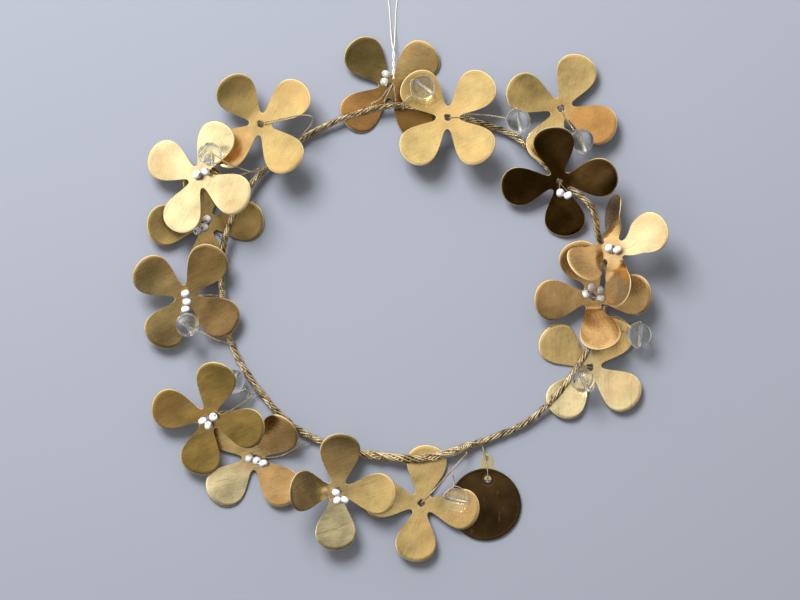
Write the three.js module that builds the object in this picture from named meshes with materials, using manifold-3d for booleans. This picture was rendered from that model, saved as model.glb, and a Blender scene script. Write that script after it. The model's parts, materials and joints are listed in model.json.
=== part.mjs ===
// A flower crown: a hoop of twisted brass wire that carries fifteen four-petal brass flowers on
// twisted wire stems, with pearl seed beads, round glass beads, a round hang tag and a thread.
// Millimetres. The hoop lies in the XY plane and the flowers face +Z. z = 0 is the surface it lies on.
import * as THREE from 'three';
import { mergeVertices } from 'three/addons/utils/BufferGeometryUtils.js';
import Module from 'manifold-3d';

const wasm = await Module();
wasm.setup();

// Driving dimensions
const SHEET = 0.4; // brass sheet of the flowers
const PETAL_TIP = 25; // flower centre to petal tip
const NECK = 4.5; // distance from the centre at which a petal starts to bend
const HOLE_RADIUS = 1.35; // hole in a flower's centre
const MIDDLE = 0.55; // place of the middle row of points between hole and outline
const HOOP_RADIUS = 1.35; // half the thickness of the twisted hoop
const LAP_EXTRA = 0.65; // how much thicker the hoop is where its ends lap
const STEM_RADIUS = 0.4; // twisted stem
const CLASP_LENGTH = 5; // a stem's winding around the hoop
const CLASP_WALL = 0.5;
const GAP = 0.5; // clearance between pieces that touch on the real crown
const BEAD_RADIUS = 1.9; // seed bead
const CRYSTAL_RADIUS = 5; // glass bead
const CRYSTAL_BORE = 0.8;
const LOOP_RADIUS = 0.25; // the single wire that holds a glass bead
const LOOP_GAP = 0.9; // its middle line off the bead
// The loop from its fork to the bore's mouth: share of the angle, and height off the bead.
const LOOP_STEPS = [[0.12, 0.85], [0.35, 0.8], [0.6, 0.8], [0.82, 0.95], [0.95, 1], [1, 0.55]];
const TAG_RADIUS = 15.25;
const TAG_THICKNESS = 0.7;
const TAG_HOLE = 1.5;
const THREAD_RADIUS = 0.22;

const BRASS = { color: 0xb99550, roughness: 0.35, metalness: 1 };
const AGED_BRASS = { color: 0x5a4423, roughness: 0.3, metalness: 1 };
const WIRE = { color: 0xa88a55, roughness: 0.35, metalness: 1 };
const PEARL = { color: 0xe9e6e2, roughness: 0.3, metalness: 0 };
const GLASS = { color: 0xdfe8ea, roughness: 0.05, metalness: 0 };
const THREAD = { color: 0xd8d2c6, roughness: 0.6, metalness: 0 };

// The outline of half a petal, from the notch beside it to its tip: degrees off the petal's
// middle line, and distance from the flower's centre.
const HALF_PETAL = [[45, 5], [31, 8], [29.5, 16.5], [20, 22.6], [0, PETAL_TIP]];

// The middle line of the hoop, clockwise from the top.
const HOOP_POINTS = [
  [-9.8, 74.5, 6.1], [8, 72.6, 6.1], [24.3, 68.5, 5.1], [42.4, 62.2, 3.6], [56, 49.5, 6.1],
  [67.2, 39.2, 7.9], [75.5, 31, 10.1], [79.2, 17, 5.4], [83, 2.6, 4.6], [80.8, -13, 4.6],
  [72.5, -32.5, 6.1], [62, -47.5, 5.6], [49.1, -59.9, 3.1], [28.3, -68.9, 3.1], [6.3, -75.3, 5.3],
  [-13.2, -74.8, 4.6], [-37.2, -69.2, 3.1], [-53.3, -59.9, 3.3], [-68.9, -42, 2.6],
  [-78.2, -24.5, 2.6], [-81.4, -2.3, 4.6], [-79.5, 19, 7.1], [-71, 38, 6.7], [-56, 54, 3.6],
  [-38.7, 65.3, 4.3],
];

// The flowers, clockwise from the top. `turn` is the direction of the first petal, `tilt` the
// slope of the flower towards the side `toward` that is raised, all in degrees. Each petal has a
// fold at its neck, a bend along its length, a roll about its middle line and, on the crushed
// flowers, a swing to one side.
const FLOWERS = [
  { at: [-9.8, 83, 2.3], turn: 41, tilt: 6, toward: 150,
    petals: [[0, 8, 0], [0, 8, 0], [-5, 4, 0], [0, 6, 0]], beads: [[-1.9, 5.3], [-2.6, 1.9]] },
  { at: [14.7, 68.9, 12], turn: 44, tilt: 12, toward: -45,
    petals: [[0, 4, 0], [0, 12, 0], [0, -4, 0], [0, 6, 0]], beads: [] },
  { at: [63, 73, 7.1], turn: 67, tilt: 8, toward: 240,
    petals: [[0, 6, 0], [0, 8, 0], [0, 8, 0], [0, 4, 0]], beads: [] },
  { at: [61.9, 42.2, 11.1], turn: 8, tilt: 24, toward: 75,
    petals: [[8, -4, 0], [0, 8, 0], [0, 6, 0], [0, 4, 0]], beads: [[0.6, -4.4], [3.8, -5.4]] },
  { at: [84.2, 12.9, 16.6], turn: 10, tilt: 18, toward: 338,
    petals: [[2, 4, 0, 14], [-17, -6, -54, -5], [48, 8, 0, 24], [14, 0, 38]],
    beads: [[-1.4, 0.4], [2.2, -0.4]] },
  { at: [76.3, -6.9, 8.3], turn: 4, tilt: 4, toward: 80,
    petals: [[6, 10, 0], [0, 2, 0, 16], [0, 8, 0], [30, 8, 0, 6]],
    beads: [[-3, 1.4], [-0.8, 4.2], [2.8, 3], [3.2, -0.4]] },
  { at: [75.6, -37, 1.5], turn: 53, tilt: 4, toward: 300,
    petals: [[0, 4, 0], [0, 4, 0], [0, 4, 0], [0, 6, 0]], beads: [] },
  { at: [3.6, -94.8, 3.1], turn: 82, tilt: 4, toward: 260,
    petals: [[0, -2, 0], [0, 4, 0], [0, 4, 0], [0, 4, 0]], beads: [] },
  { at: [-31.9, -89.2, 9.6], turn: 87, tilt: 8, toward: 185,
    petals: [[0, 18, 0], [26, 16, 0], [0, -2, 0], [8, 18, 0]],
    beads: [[-1, -0.4], [-0.6, -3.6], [2.6, -3.6]] },
  { at: [-67.9, -75.7, 2.7], turn: 45, tilt: 5, toward: 60,
    petals: [[20, 4, 0], [0, 0, 0], [0, 8, 0], [4, 6, 0]],
    beads: [[-1.6, 0.4], [1.6, -0.6], [4.4, -1.8]] },
  { at: [-86.5, -58.2, 11.1], turn: 77, tilt: 14, toward: 44,
    petals: [[0, 6, 0], [0, 6, 0], [0, 4, 0], [0, 4, 0]], beads: [[-2, -0.6], [0.6, -2.6], [2.8, 1.2]] },
  { at: [-96, -6.6, 9.6], turn: 57, tilt: 10, toward: 120,
    petals: [[0, 6, 0], [0, 6, 0], [0, -6, 0], [0, 4, 0]], beads: [[-0.4, 1.6], [0.2, -2], [-0.4, -5.2]] },
  { at: [-88.5, 24.7, 2.7], turn: 3, tilt: 6, toward: 171,
    petals: [[0, 6, 0], [0, 0, 0], [0, 8, 0], [0, 8, 0]], beads: [[0.6, 1.6], [-0.6, -1.8], [-3.4, -3.4]] },
  { at: [-90.2, 43.6, 15.1], turn: 64, tilt: 20, toward: 351,
    petals: [[0, 2, 0], [0, 8, 0], [0, 6, 0], [0, -8, 0]], beads: [[0.2, 0.8], [4.2, 2]] },
  { at: [-64.4, 66.1, 13.1], turn: 38, tilt: 16, toward: -46,
    petals: [[0, 6, 0], [8, 24, 0], [0, 6, 0], [0, -4, 0]], beads: [] },
];

// The stems, in the order of the flowers. `clasp` is where the stem is wound on the hoop and
// `route` the points between it and the flower. A stem from below comes up through the flower's
// hole, and one from above goes down through it. `hook` is the direction in which the end is
// laid over the face and down beside a petal. `branch` is a side wire that holds a glass bead
// whose hole runs along `bore`; it starts at `fork`, or at the clasp where none is given.
const STEMS = [
  { clasp: [-17, 73], route: [[-14, 77.2, 6.1], [-11.4, 80.6, 5.5]], from: 'above' },
  { clasp: [22, 69], route: [[19.6, 68.2, 8.5], [16.4, 68.4, 9.1]], from: 'below', hook: -1,
    branch: [[29, 70.4, 8.1], [35, 69.4, 12.1], [44.6, 67.4, 14.9]], bore: [0.17, -0.98, 0] },
  { clasp: [49, 56.8], route: [[53.4, 61.4, 2.1], [59, 68, 2.5], [62.2, 72, 3.7]], from: 'below', hook: 293,
    fork: [64.8, 69.1, 9.05], branch: [[66.2, 66.4, 11.3], [71.3, 59.1, 13.5]], bore: [0.3, -0.95, 0] },
  { clasp: [59, 46.4], route: [[60, 43.4, 8.7]], from: 'below' },
  { clasp: [82.8, 4], route: [[82.9, 4.6, 9.7], [83.6, 9.6, 12.5]], from: 'below' },
  { clasp: [81.8, -9.6], route: [[79.4, -8.2, 5.7]], from: 'below' },
  { clasp: [70.4, -35.8], route: [[72.6, -36.2, 6.7]], from: 'above',
    branch: [[69.6, -35, 9.9], [70.4, -34.6, 11.7], [71.9, -42.3, 12.7]], bore: [0.47, -0.88, 0] },
  { clasp: [22, -71], route: [[20.4, -76, 6.7], [13.4, -84, 6.3], [7, -91, 5.7]], from: 'above',
    fork: [16.6, -80.2, 6.5], branch: [[17.2, -84, 8.5], [18.3, -92.8, 8.9]], bore: [0.98, -0.2, 0] },
  { clasp: [-34, -70.4], route: [[-33, -76, 4.7], [-32, -84, 6.1]], from: 'below' },
  { clasp: [-43, -66.6], route: [[-47, -69.6, 2.4], [-56, -74.6, 1.1], [-64, -75.8, 0.9]], from: 'below' },
  { clasp: [-66, -46.4], route: [[-70.6, -50.6, 5.1], [-78, -55.4, 7.5], [-84, -58, 8.1]], from: 'below',
    fork: [-70.6, -50.6, 5.1], branch: [[-69.8, -47, 6.1], [-76.3, -42.6, 7.5]], bore: [0.56, 0.83, 0] },
  { clasp: [-81.6, -6], route: [[-87, -6, 5.5], [-93.4, -6.4, 6.7]], from: 'below' },
  { clasp: [-79.4, 18], route: [[-81.8, 18.2, 3.7], [-82.6, 19.4, 1.5], [-85, 21.6, 0.8], [-87.4, 24, 0.8]], from: 'below' },
  { clasp: [-64, 46.4], route: [[-68.4, 46.4, 7.9], [-80, 43.4, 11.7], [-87, 43.4, 13.1]], from: 'below',
    branch: [[-67.4, 46, 12.7], [-71.4, 46.8, 18.1], [-77, 48.8, 22.5], [-84.8, 52.8, 23.9]],
    bore: [0.1, 0.05, 0.99] },
  { clasp: [-50, 58.6], route: [[-46.6, 62, 10], [-42.6, 66.4, 15.4], [-42.4, 68.9, 18.2], [-47, 69.4, 19.4],
    [-55, 68, 17.2]], from: 'above' },
];

// Three more glass beads are held by wires of their own.
const LONE_WIRES = [
  { name: 'crystal_wire_1', clasp: [-4.2, 74], bore: [0.82, -0.57, 0],
    route: [[-4.2, 72.6, 9.4], [-4.4, 74.4, 13.4], [-2.4, 76.8, 14.6], [4.2, 81.6, 14.9]] },
  { name: 'crystal_wire_4', clasp: [78.6, -19.2], bore: [-0.1, -0.99, 0],
    route: [[84, -20.4, 7.5], [96.1, -22.9, 9.7]] },
  { name: 'crystal_wire_8', clasp: [-77.4, -26.4], bore: [-0.1, 0.2, 0.97],
    route: [[-78, -26.6, 8.7], [-83, -25, 11.7], [-88.4, -22, 14.6], [-95, -18.6, 15.7]] },
];

// The hang tag lies beside the lapped ends of the hoop. Its hole is near its top edge.
const TAG_CENTRE = [30.9, -95.4, 1.5];
const TAG_PIVOT = [32, -84.5, 1.5];
const TAB_EAR = [31.6, -76, 0.4]; // ear hole of the small tab behind the tag
const TAG_LOOP_CLASP = [29, -68.7];

// The thread: up from the bail, round a small loop and back down, its two legs twisted together.
const THREAD_EXIT = [-8.2, 85.6, 6.6];

const crown = new THREE.Group();

function piece(name, geometry, finish) {
  const mesh = new THREE.Mesh(geometry, new THREE.MeshStandardMaterial(finish));
  mesh.name = name;
  crown.add(mesh);
  return mesh;
}

function vector([x, y, z]) {
  return new THREE.Vector3(x, y, z);
}

function radians(degrees) {
  return THREE.MathUtils.degToRad(degrees);
}

// Keeps only positions and joins the shared points.
function welded(geometry) {
  const bare = new THREE.BufferGeometry();
  bare.setAttribute('position', geometry.getAttribute('position').clone());
  if (geometry.index) bare.setIndex(geometry.index.clone());
  return mergeVertices(bare, 1e-4);
}

function solid(geometry) {
  const shape = welded(geometry);
  const vertProperties = new Float32Array(shape.getAttribute('position').array);
  const triVerts = new Uint32Array(shape.index.array);
  return new wasm.Manifold(new wasm.Mesh({ numProp: 3, vertProperties, triVerts }));
}

function geometryOf(body) {
  const mesh = body.getMesh();
  const geometry = new THREE.BufferGeometry();
  geometry.setAttribute('position', new THREE.BufferAttribute(mesh.vertProperties, 3));
  geometry.setIndex(new THREE.BufferAttribute(mesh.triVerts, 1));
  return geometry;
}

function joined(geometries) {
  return geometryOf(geometries.map(solid).reduce((sum, next) => sum.add(next)));
}

function polygon(radius, sides) {
  const corners = [];
  for (let i = 0; i < sides; i++) {
    const angle = (2 * Math.PI * i) / sides;
    corners.push(new THREE.Vector2(radius * Math.cos(angle), radius * Math.sin(angle)));
  }
  return new THREE.Shape(corners);
}

function wire(points, radius, steps, sides = 5) {
  const path = new THREE.CatmullRomCurve3(points, false, 'centripetal');
  const options = { steps, extrudePath: path, bevelEnabled: false };
  return new THREE.ExtrudeGeometry(polygon(radius, sides), options);
}

// The hoop is a closed tube that swells where the ends of its strands lap, at the bottom.
const hoop = new THREE.CatmullRomCurve3(HOOP_POINTS.map(vector), true, 'centripetal');

function hoopRadius(point) {
  const lap = THREE.MathUtils.smoothstep(-point.y, 66, 72) * THREE.MathUtils.smoothstep(point.x, -32, -20);
  return HOOP_RADIUS + LAP_EXTRA * lap;
}

function hoopGeometry() {
  const steps = 72;
  const sides = 7;
  const geometry = new THREE.TubeGeometry(hoop, steps, 1, sides, true);
  const position = geometry.getAttribute('position');
  const corner = new THREE.Vector3();
  for (let i = 0; i <= steps; i++) {
    const middle = hoop.getPointAt((i % steps) / steps);
    for (let j = 0; j <= sides; j++) {
      const index = i * (sides + 1) + j;
      corner.fromBufferAttribute(position, index);
      corner.sub(middle).multiplyScalar(hoopRadius(middle)).add(middle);
      position.setXYZ(index, corner.x, corner.y, corner.z);
    }
  }
  return welded(geometry);
}

function hoopPlaceNear([x, y]) {
  const samples = 1200;
  let best = 0;
  let least = Infinity;
  for (let i = 0; i < samples; i++) {
    const point = hoop.getPointAt(i / samples);
    const distance = Math.hypot(point.x - x, point.y - y);
    if (distance < least) {
      least = distance;
      best = i / samples;
    }
  }
  return best;
}

// A stem's winding around the hoop: a short sleeve with a little clearance.
function clasp(place, length) {
  const middle = hoop.getPointAt(place);
  const inner = hoopRadius(middle) + GAP;
  const outer = inner + CLASP_WALL;
  const half = length / 2;
  const profile = [[inner, -half], [outer, -half], [outer, half], [inner, half], [inner, -half]];
  const geometry = new THREE.LatheGeometry(profile.map(([r, h]) => new THREE.Vector2(r, h)), 9);
  const along = hoop.getTangentAt(place);
  geometry.applyQuaternion(new THREE.Quaternion().setFromUnitVectors(new THREE.Vector3(0, 1, 0), along));
  geometry.translate(middle.x, middle.y, middle.z);
  return { geometry, middle, wall: inner + CLASP_WALL / 2 };
}

// Where a wire leaves a clasp on its way to a point: inside the wall of the winding.
function leaving(winding, towards) {
  const along = hoop.getTangentAt(hoopPlaceNear([winding.middle.x, winding.middle.y]));
  const way = towards.clone().sub(winding.middle);
  way.addScaledVector(along, -way.dot(along)).setLength(winding.wall);
  return winding.middle.clone().add(way);
}

// A point of a petal's sheet, in the petal's own frame: x along it, y across it.
function petalPoint(along, across, [fold, bend, roll], lift) {
  const reach = PETAL_TIP - NECK;
  const run = Math.max(along - NECK, 0);
  const start = radians(fold);
  const total = radians(bend || 0.1);
  const angle = start + (total * run) / reach;
  const x = Math.min(along, NECK) + (reach / total) * (Math.sin(angle) - Math.sin(start));
  const z = (reach / total) * (Math.cos(start) - Math.cos(angle));
  const turned = radians(roll) * THREE.MathUtils.smoothstep(run, 0, 8);
  const slope = run > 0 ? angle : 0;
  const side = across * Math.cos(turned) - lift * Math.sin(turned);
  const up = across * Math.sin(turned) + lift * Math.cos(turned);
  return new THREE.Vector3(x - up * Math.sin(slope), side, z + up * Math.cos(slope));
}

// A flower is a sheet with three rows of points on each face: the hole, a middle row, the outline.
function flowerGeometry(petals) {
  const outline = [];
  petals.forEach((shape, petal) => {
    const half = HALF_PETAL.slice(0, -1);
    const mirrored = [...HALF_PETAL].reverse().slice(0, -1);
    half.forEach(([angle, reach]) => outline.push({ petal, shape, angle: -angle, reach }));
    mirrored.forEach(([angle, reach]) => outline.push({ petal, shape, angle, reach }));
  });
  const count = outline.length;
  const positions = [];
  for (const lift of [SHEET / 2, -SHEET / 2]) {
    for (const row of [0, MIDDLE, 1]) {
      for (const { petal, shape, angle, reach } of outline) {
        const distance = HOLE_RADIUS + row * (reach - HOLE_RADIUS);
        const along = distance * Math.cos(radians(angle));
        const across = distance * Math.sin(radians(angle));
        const point = petalPoint(along, across, shape, lift);
        const swing = (shape[3] || 0) * THREE.MathUtils.smoothstep(along, NECK, 12);
        point.applyAxisAngle(new THREE.Vector3(0, 0, 1), radians(90 * petal + swing));
        positions.push(point.x, point.y, point.z);
      }
    }
  }
  const index = [];
  const quad = (a, b, c, d) => index.push(a, b, c, a, c, d);
  for (let i = 0; i < count; i++) {
    const next = (i + 1) % count;
    for (const row of [0, 1]) {
      const inner = row * count;
      const outer = inner + count;
      quad(inner + i, outer + i, outer + next, inner + next);
      quad(inner + next + 3 * count, outer + next + 3 * count, outer + i + 3 * count, inner + i + 3 * count);
    }
    quad(2 * count + i, 5 * count + i, 5 * count + next, 2 * count + next);
    quad(next, 3 * count + next, 3 * count + i, i);
  }
  const geometry = new THREE.BufferGeometry();
  geometry.setAttribute('position', new THREE.Float32BufferAttribute(positions, 3));
  geometry.setIndex(index);
  return geometry;
}

// The frame of a flower: its face turned up towards +Z, then tilted. `local` gives a point of it.
function flowerFrame({ at, tilt, toward }) {
  const direction = radians(toward);
  const axis = new THREE.Vector3(Math.sin(direction), -Math.cos(direction), 0);
  const rotation = new THREE.Quaternion().setFromAxisAngle(axis, radians(tilt));
  const local = (x, y, z) => new THREE.Vector3(x, y, z).applyQuaternion(rotation).add(vector(at));
  return { rotation, local };
}

function beadGeometry(centre) {
  const geometry = new THREE.SphereGeometry(BEAD_RADIUS, 6, 5);
  geometry.rotateX(Math.PI / 2);
  geometry.translate(centre.x, centre.y, centre.z);
  return geometry;
}

// Seed beads are threaded on one short wire that lies just over the flower's face.
function beadCluster(frame, beads) {
  const height = SHEET / 2 + BEAD_RADIUS + 0.9;
  const centres = beads.map(([x, y]) => frame.local(x, y, height));
  const thread = wire(centres, STEM_RADIUS * 0.8, 2 * beads.length, 5);
  return joined([thread, ...centres.map(beadGeometry)]);
}

// A glass bead with its bore along Y.
function crystalGeometry() {
  const profile = [];
  const edge = Math.asin(CRYSTAL_BORE / CRYSTAL_RADIUS);
  const rows = 5;
  for (let i = 0; i <= rows; i++) {
    const angle = edge + ((Math.PI - 2 * edge) * i) / rows;
    profile.push(new THREE.Vector2(CRYSTAL_RADIUS * Math.sin(angle), -CRYSTAL_RADIUS * Math.cos(angle)));
  }
  profile.push(profile[0].clone());
  return welded(new THREE.LatheGeometry(profile, 8));
}

const crystals = [];

// A glass bead at the end of a wire. The wire parts into a loop that goes round the bead and
// through its bore, so the bead can turn on it.
function beadWire(points, bore) {
  const centre = points[points.length - 1];
  const back = points[points.length - 2].clone().sub(centre).normalize();
  const across = vector(bore).normalize();
  const near = centre.clone().addScaledVector(back, CRYSTAL_RADIUS + LOOP_GAP);
  crystals.push({ centre, across });
  const legs = [1, -1].map((side) => {
    const mouth = across.clone().multiplyScalar(side);
    const angle = back.angleTo(mouth);
    const leg = LOOP_STEPS.map(([share, height]) => {
      const toMouth = Math.sin(share * angle) / Math.sin(angle);
      const toBack = Math.sin((1 - share) * angle) / Math.sin(angle);
      const way = back.clone().multiplyScalar(toBack).addScaledVector(mouth, toMouth);
      return centre.clone().addScaledVector(way, CRYSTAL_RADIUS + height);
    });
    const inside = centre.clone().addScaledVector(mouth, CRYSTAL_RADIUS * 0.6);
    return [...leg, inside];
  });
  const loop = [near, ...legs[0], centre, ...legs[1].reverse(), near];
  return [
    wire([...points.slice(0, -1), near], STEM_RADIUS, Math.ceil(1.6 * points.length)),
    wire(loop, LOOP_RADIUS, 36, 5),
  ];
}

function stemGeometry(stem, flower) {
  const frame = flowerFrame(flower);
  const winding = clasp(hoopPlaceNear(stem.clasp), CLASP_LENGTH);
  const lead = stem.route.map(vector);
  const points = [leaving(winding, lead[0]), ...lead];
  if (stem.from === 'below') {
    points.push(frame.local(0, 0, -1), frame.local(0, 0, SHEET / 2 + 0.8));
  } else {
    points.push(frame.local(0, 0, 1.4), frame.local(0, 0, -SHEET / 2 - 0.9));
  }
  if (stem.hook !== undefined) {
    const direction = radians(stem.hook);
    const over = (distance, height) =>
      frame.local(distance * Math.cos(direction), distance * Math.sin(direction), height);
    points.push(over(1.6, 1.7), over(4.4, 1.6), over(7.2, 0.9), over(8, -1.2));
  }
  const parts = [winding.geometry, wire(points, STEM_RADIUS, Math.ceil(1.6 * points.length))];
  if (stem.branch) {
    const route = stem.branch.map(vector);
    const start = stem.fork ? vector(stem.fork) : leaving(winding, route[0]);
    parts.push(...beadWire([start, ...route], stem.bore));
  }
  return joined(parts);
}

// The hang tag: a plain round disc with a hole near its top edge.
function tagGeometry() {
  const shape = new THREE.Shape(polygon(TAG_RADIUS, 28).getPoints());
  const hole = polygon(TAG_HOLE, 10).getPoints();
  const [dx, dy] = [TAG_PIVOT[0] - TAG_CENTRE[0], TAG_PIVOT[1] - TAG_CENTRE[1]];
  shape.holes.push(new THREE.Path(hole.map((corner) => new THREE.Vector2(corner.x + dx, corner.y + dy))));
  const geometry = new THREE.ExtrudeGeometry(shape, { depth: TAG_THICKNESS, bevelEnabled: false });
  geometry.translate(0, 0, -TAG_THICKNESS / 2);
  return geometry;
}

// The small bell-shaped tab that hangs behind the tag: a round ear on flared shoulders.
function tabGeometry() {
  const [x, y] = TAB_EAR;
  const shape = new THREE.Shape();
  shape.moveTo(-6.5, -9);
  shape.lineTo(6.5, -9);
  shape.quadraticCurveTo(5.6, -5.4, 2.4, -3.2);
  shape.quadraticCurveTo(2.9, 0, 1.9, 1.6);
  shape.quadraticCurveTo(0, 3, -1.9, 1.6);
  shape.quadraticCurveTo(-2.9, 0, -2.4, -3.2);
  shape.quadraticCurveTo(-5.6, -5.4, -6.5, -9);
  shape.holes.push(new THREE.Path(polygon(1.1, 8).getPoints()));
  const geometry = new THREE.ExtrudeGeometry(shape, { depth: 0.4, bevelEnabled: false, curveSegments: 3 });
  geometry.translate(x, y, TAB_EAR[2] - 0.2);
  return geometry;
}

function tagLoopGeometry() {
  const winding = clasp(hoopPlaceNear(TAG_LOOP_CLASP), 3);
  const [x, y, z] = TAG_PIVOT;
  const [earX, earY] = TAB_EAR;
  const upper = [[30.6, -74, 3.2], [31.8, -80, 3], [x, y + 0.8, z + 1.1], [x, y, z], [x, y, z - 0.6]];
  const lower = [[30.2, -73.4, 2.4], [earX - 0.1, earY + 0.6, 1.5], [earX, earY, 0.9], [earX, earY, 0.35]];
  const legs = [upper, lower].map((points) => {
    const route = points.map(vector);
    return wire([leaving(winding, route[0]), ...route], 0.3, 12, 5);
  });
  return joined([winding.geometry, ...legs]);
}

// The bail: two wire legs from the hoop to a point that holds the thread.
function bailGeometry() {
  const top = vector(THREAD_EXIT).add(new THREE.Vector3(0, -0.9, 0));
  const parts = [];
  for (const place of [[-11.8, 74.4], [-7.2, 74.2]]) {
    const winding = clasp(hoopPlaceNear(place), 1.6);
    const start = leaving(winding, new THREE.Vector3(place[0], 80, 8));
    const knee = start.clone().lerp(top, 0.5).add(new THREE.Vector3(0, 0, 0.3));
    parts.push(winding.geometry, wire([start, knee, top], 0.35, 4, 5));
  }
  return joined(parts);
}

// The thread's two legs leave the bail together, wind round each other, then part to the loop.
function threadPoints() {
  const [x, y, z] = THREAD_EXIT;
  const twist = { turns: 1.5, steps: 6, length: 10, radius: 0.4 };
  const legs = [0, Math.PI].map((phase) => {
    const leg = [];
    for (let i = 0; i <= twist.steps; i++) {
      const share = i / twist.steps;
      const angle = phase + 2 * Math.PI * twist.turns * share;
      leg.push(new THREE.Vector3(
        x + twist.radius * Math.cos(angle),
        y + twist.length * share,
        z - 1.2 * share + twist.radius * Math.sin(angle),
      ));
    }
    return leg;
  });
  const loop = [[-8.9, 101, 3.6], [-9.4, 107, 1], [-10, 116, 0.5], [-10.6, 124, 0.5], [-8.6, 128.4, 0.5],
    [-6.6, 124, 0.5], [-7.2, 116, 0.5], [-7.6, 107, 1], [-7.9, 101, 3.6]];
  return [...legs[1], ...loop.map(vector), ...legs[0].reverse()];
}

// Assembly, in the order in which the crown is put together
piece('crown_ring', hoopGeometry(), WIRE);

FLOWERS.forEach((flower, i) => {
  const number = String(i + 1).padStart(2, '0');
  const frame = flowerFrame(flower);
  const sheet = piece(`flower_${number}`, flowerGeometry(flower.petals), BRASS);
  sheet.quaternion.copy(frame.rotation);
  sheet.rotateZ(radians(flower.turn));
  sheet.position.set(...flower.at);
  piece(`stem_${number}`, stemGeometry(STEMS[i], flower), WIRE);
  if (flower.beads.length > 0) {
    piece(`seed_beads_${number}`, beadCluster(frame, flower.beads), PEARL);
  }
});

for (const { name, clasp: place, bore, route } of LONE_WIRES) {
  const winding = clasp(hoopPlaceNear(place), CLASP_LENGTH * 0.4);
  const points = route.map(vector);
  const parts = beadWire([leaving(winding, points[0]), ...points], bore);
  piece(name, joined([winding.geometry, ...parts]), WIRE);
}

// The glass beads are numbered clockwise from the top.
function clockwise({ centre }) {
  return (Math.atan2(centre.x, centre.y) + 2 * Math.PI) % (2 * Math.PI);
}
crystals.sort((a, b) => clockwise(a) - clockwise(b));
crystals.forEach(({ centre, across }, i) => {
  const bead = piece(`crystal_${i + 1}`, crystalGeometry(), GLASS);
  bead.position.copy(centre);
  bead.quaternion.setFromUnitVectors(new THREE.Vector3(0, 1, 0), across);
});

const tag = piece('round_tag', tagGeometry(), AGED_BRASS);
tag.position.set(...TAG_CENTRE);
piece('tag_backing_tab', tabGeometry(), BRASS);
piece('tag_loop', tagLoopGeometry(), WIRE);
piece('hanging_bail', bailGeometry(), WIRE);

// The crown without its thread is centred on the origin and stands on z = 0.
const extent = new THREE.Box3().setFromObject(crown, true);
const middle = extent.getCenter(new THREE.Vector3());
crown.position.set(-middle.x, -middle.y, -extent.min.z);

piece('hanging_thread', wire(threadPoints(), THREAD_RADIUS, 60, 8), THREAD);

export default crown;
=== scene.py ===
import json
import math
import random

import bmesh
import bpy
import numpy as np
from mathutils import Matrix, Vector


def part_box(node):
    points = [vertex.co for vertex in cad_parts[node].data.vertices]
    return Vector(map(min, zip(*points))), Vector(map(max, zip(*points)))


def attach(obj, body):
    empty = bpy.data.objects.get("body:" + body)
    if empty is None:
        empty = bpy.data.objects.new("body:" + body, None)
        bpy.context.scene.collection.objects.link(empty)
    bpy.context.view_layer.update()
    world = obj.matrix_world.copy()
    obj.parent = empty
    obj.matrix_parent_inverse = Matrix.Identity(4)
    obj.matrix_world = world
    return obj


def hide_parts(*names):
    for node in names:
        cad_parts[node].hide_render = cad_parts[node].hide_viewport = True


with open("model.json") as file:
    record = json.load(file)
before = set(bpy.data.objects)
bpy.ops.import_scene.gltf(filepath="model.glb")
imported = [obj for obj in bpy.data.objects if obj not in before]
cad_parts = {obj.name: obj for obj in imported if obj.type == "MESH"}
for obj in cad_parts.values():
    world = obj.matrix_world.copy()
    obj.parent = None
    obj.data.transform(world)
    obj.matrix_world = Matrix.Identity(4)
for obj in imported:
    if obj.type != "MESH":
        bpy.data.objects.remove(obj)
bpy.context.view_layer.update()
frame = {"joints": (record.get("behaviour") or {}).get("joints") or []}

# ---- Camera -------------------------------------------------------------------------------
# The crown is looked at from straight above, as it lies flat on the table, with its hanging
# thread at the top.
SEEN_WIDTH = 0.3404
CAMERA_HEIGHT = 1.0
FLOWER_HEIGHT = 0.005
CAMERA_OVER = (0.0005, -0.0004)

camera = bpy.data.objects.new("camera", bpy.data.cameras.new("camera"))
camera.data.sensor_width = 36
camera.data.lens = camera.data.sensor_width * CAMERA_HEIGHT / SEEN_WIDTH
camera.location = (*CAMERA_OVER, CAMERA_HEIGHT + FLOWER_HEIGHT)
bpy.context.collection.objects.link(camera)
bpy.context.scene.camera = camera

# ---- Hanging thread -----------------------------------------------------------------------
# One pale waxed thread: up from the wire bail, round a small loop, and back down. Its two
# legs are twisted together near the bail. It is about 0.4 mm thick, and it lies slack.
TAG_CENTRE = np.array([30.9, -95.4, 1.5])
# All places below are in millimetres from the middle of the hoop, which the tag's place in the
# frame gives.
shift = np.mean(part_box("round_tag"), axis=0) * 1000 - TAG_CENTRE

SPAN_STEPS = 24  # points worked out between two given ones


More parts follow.
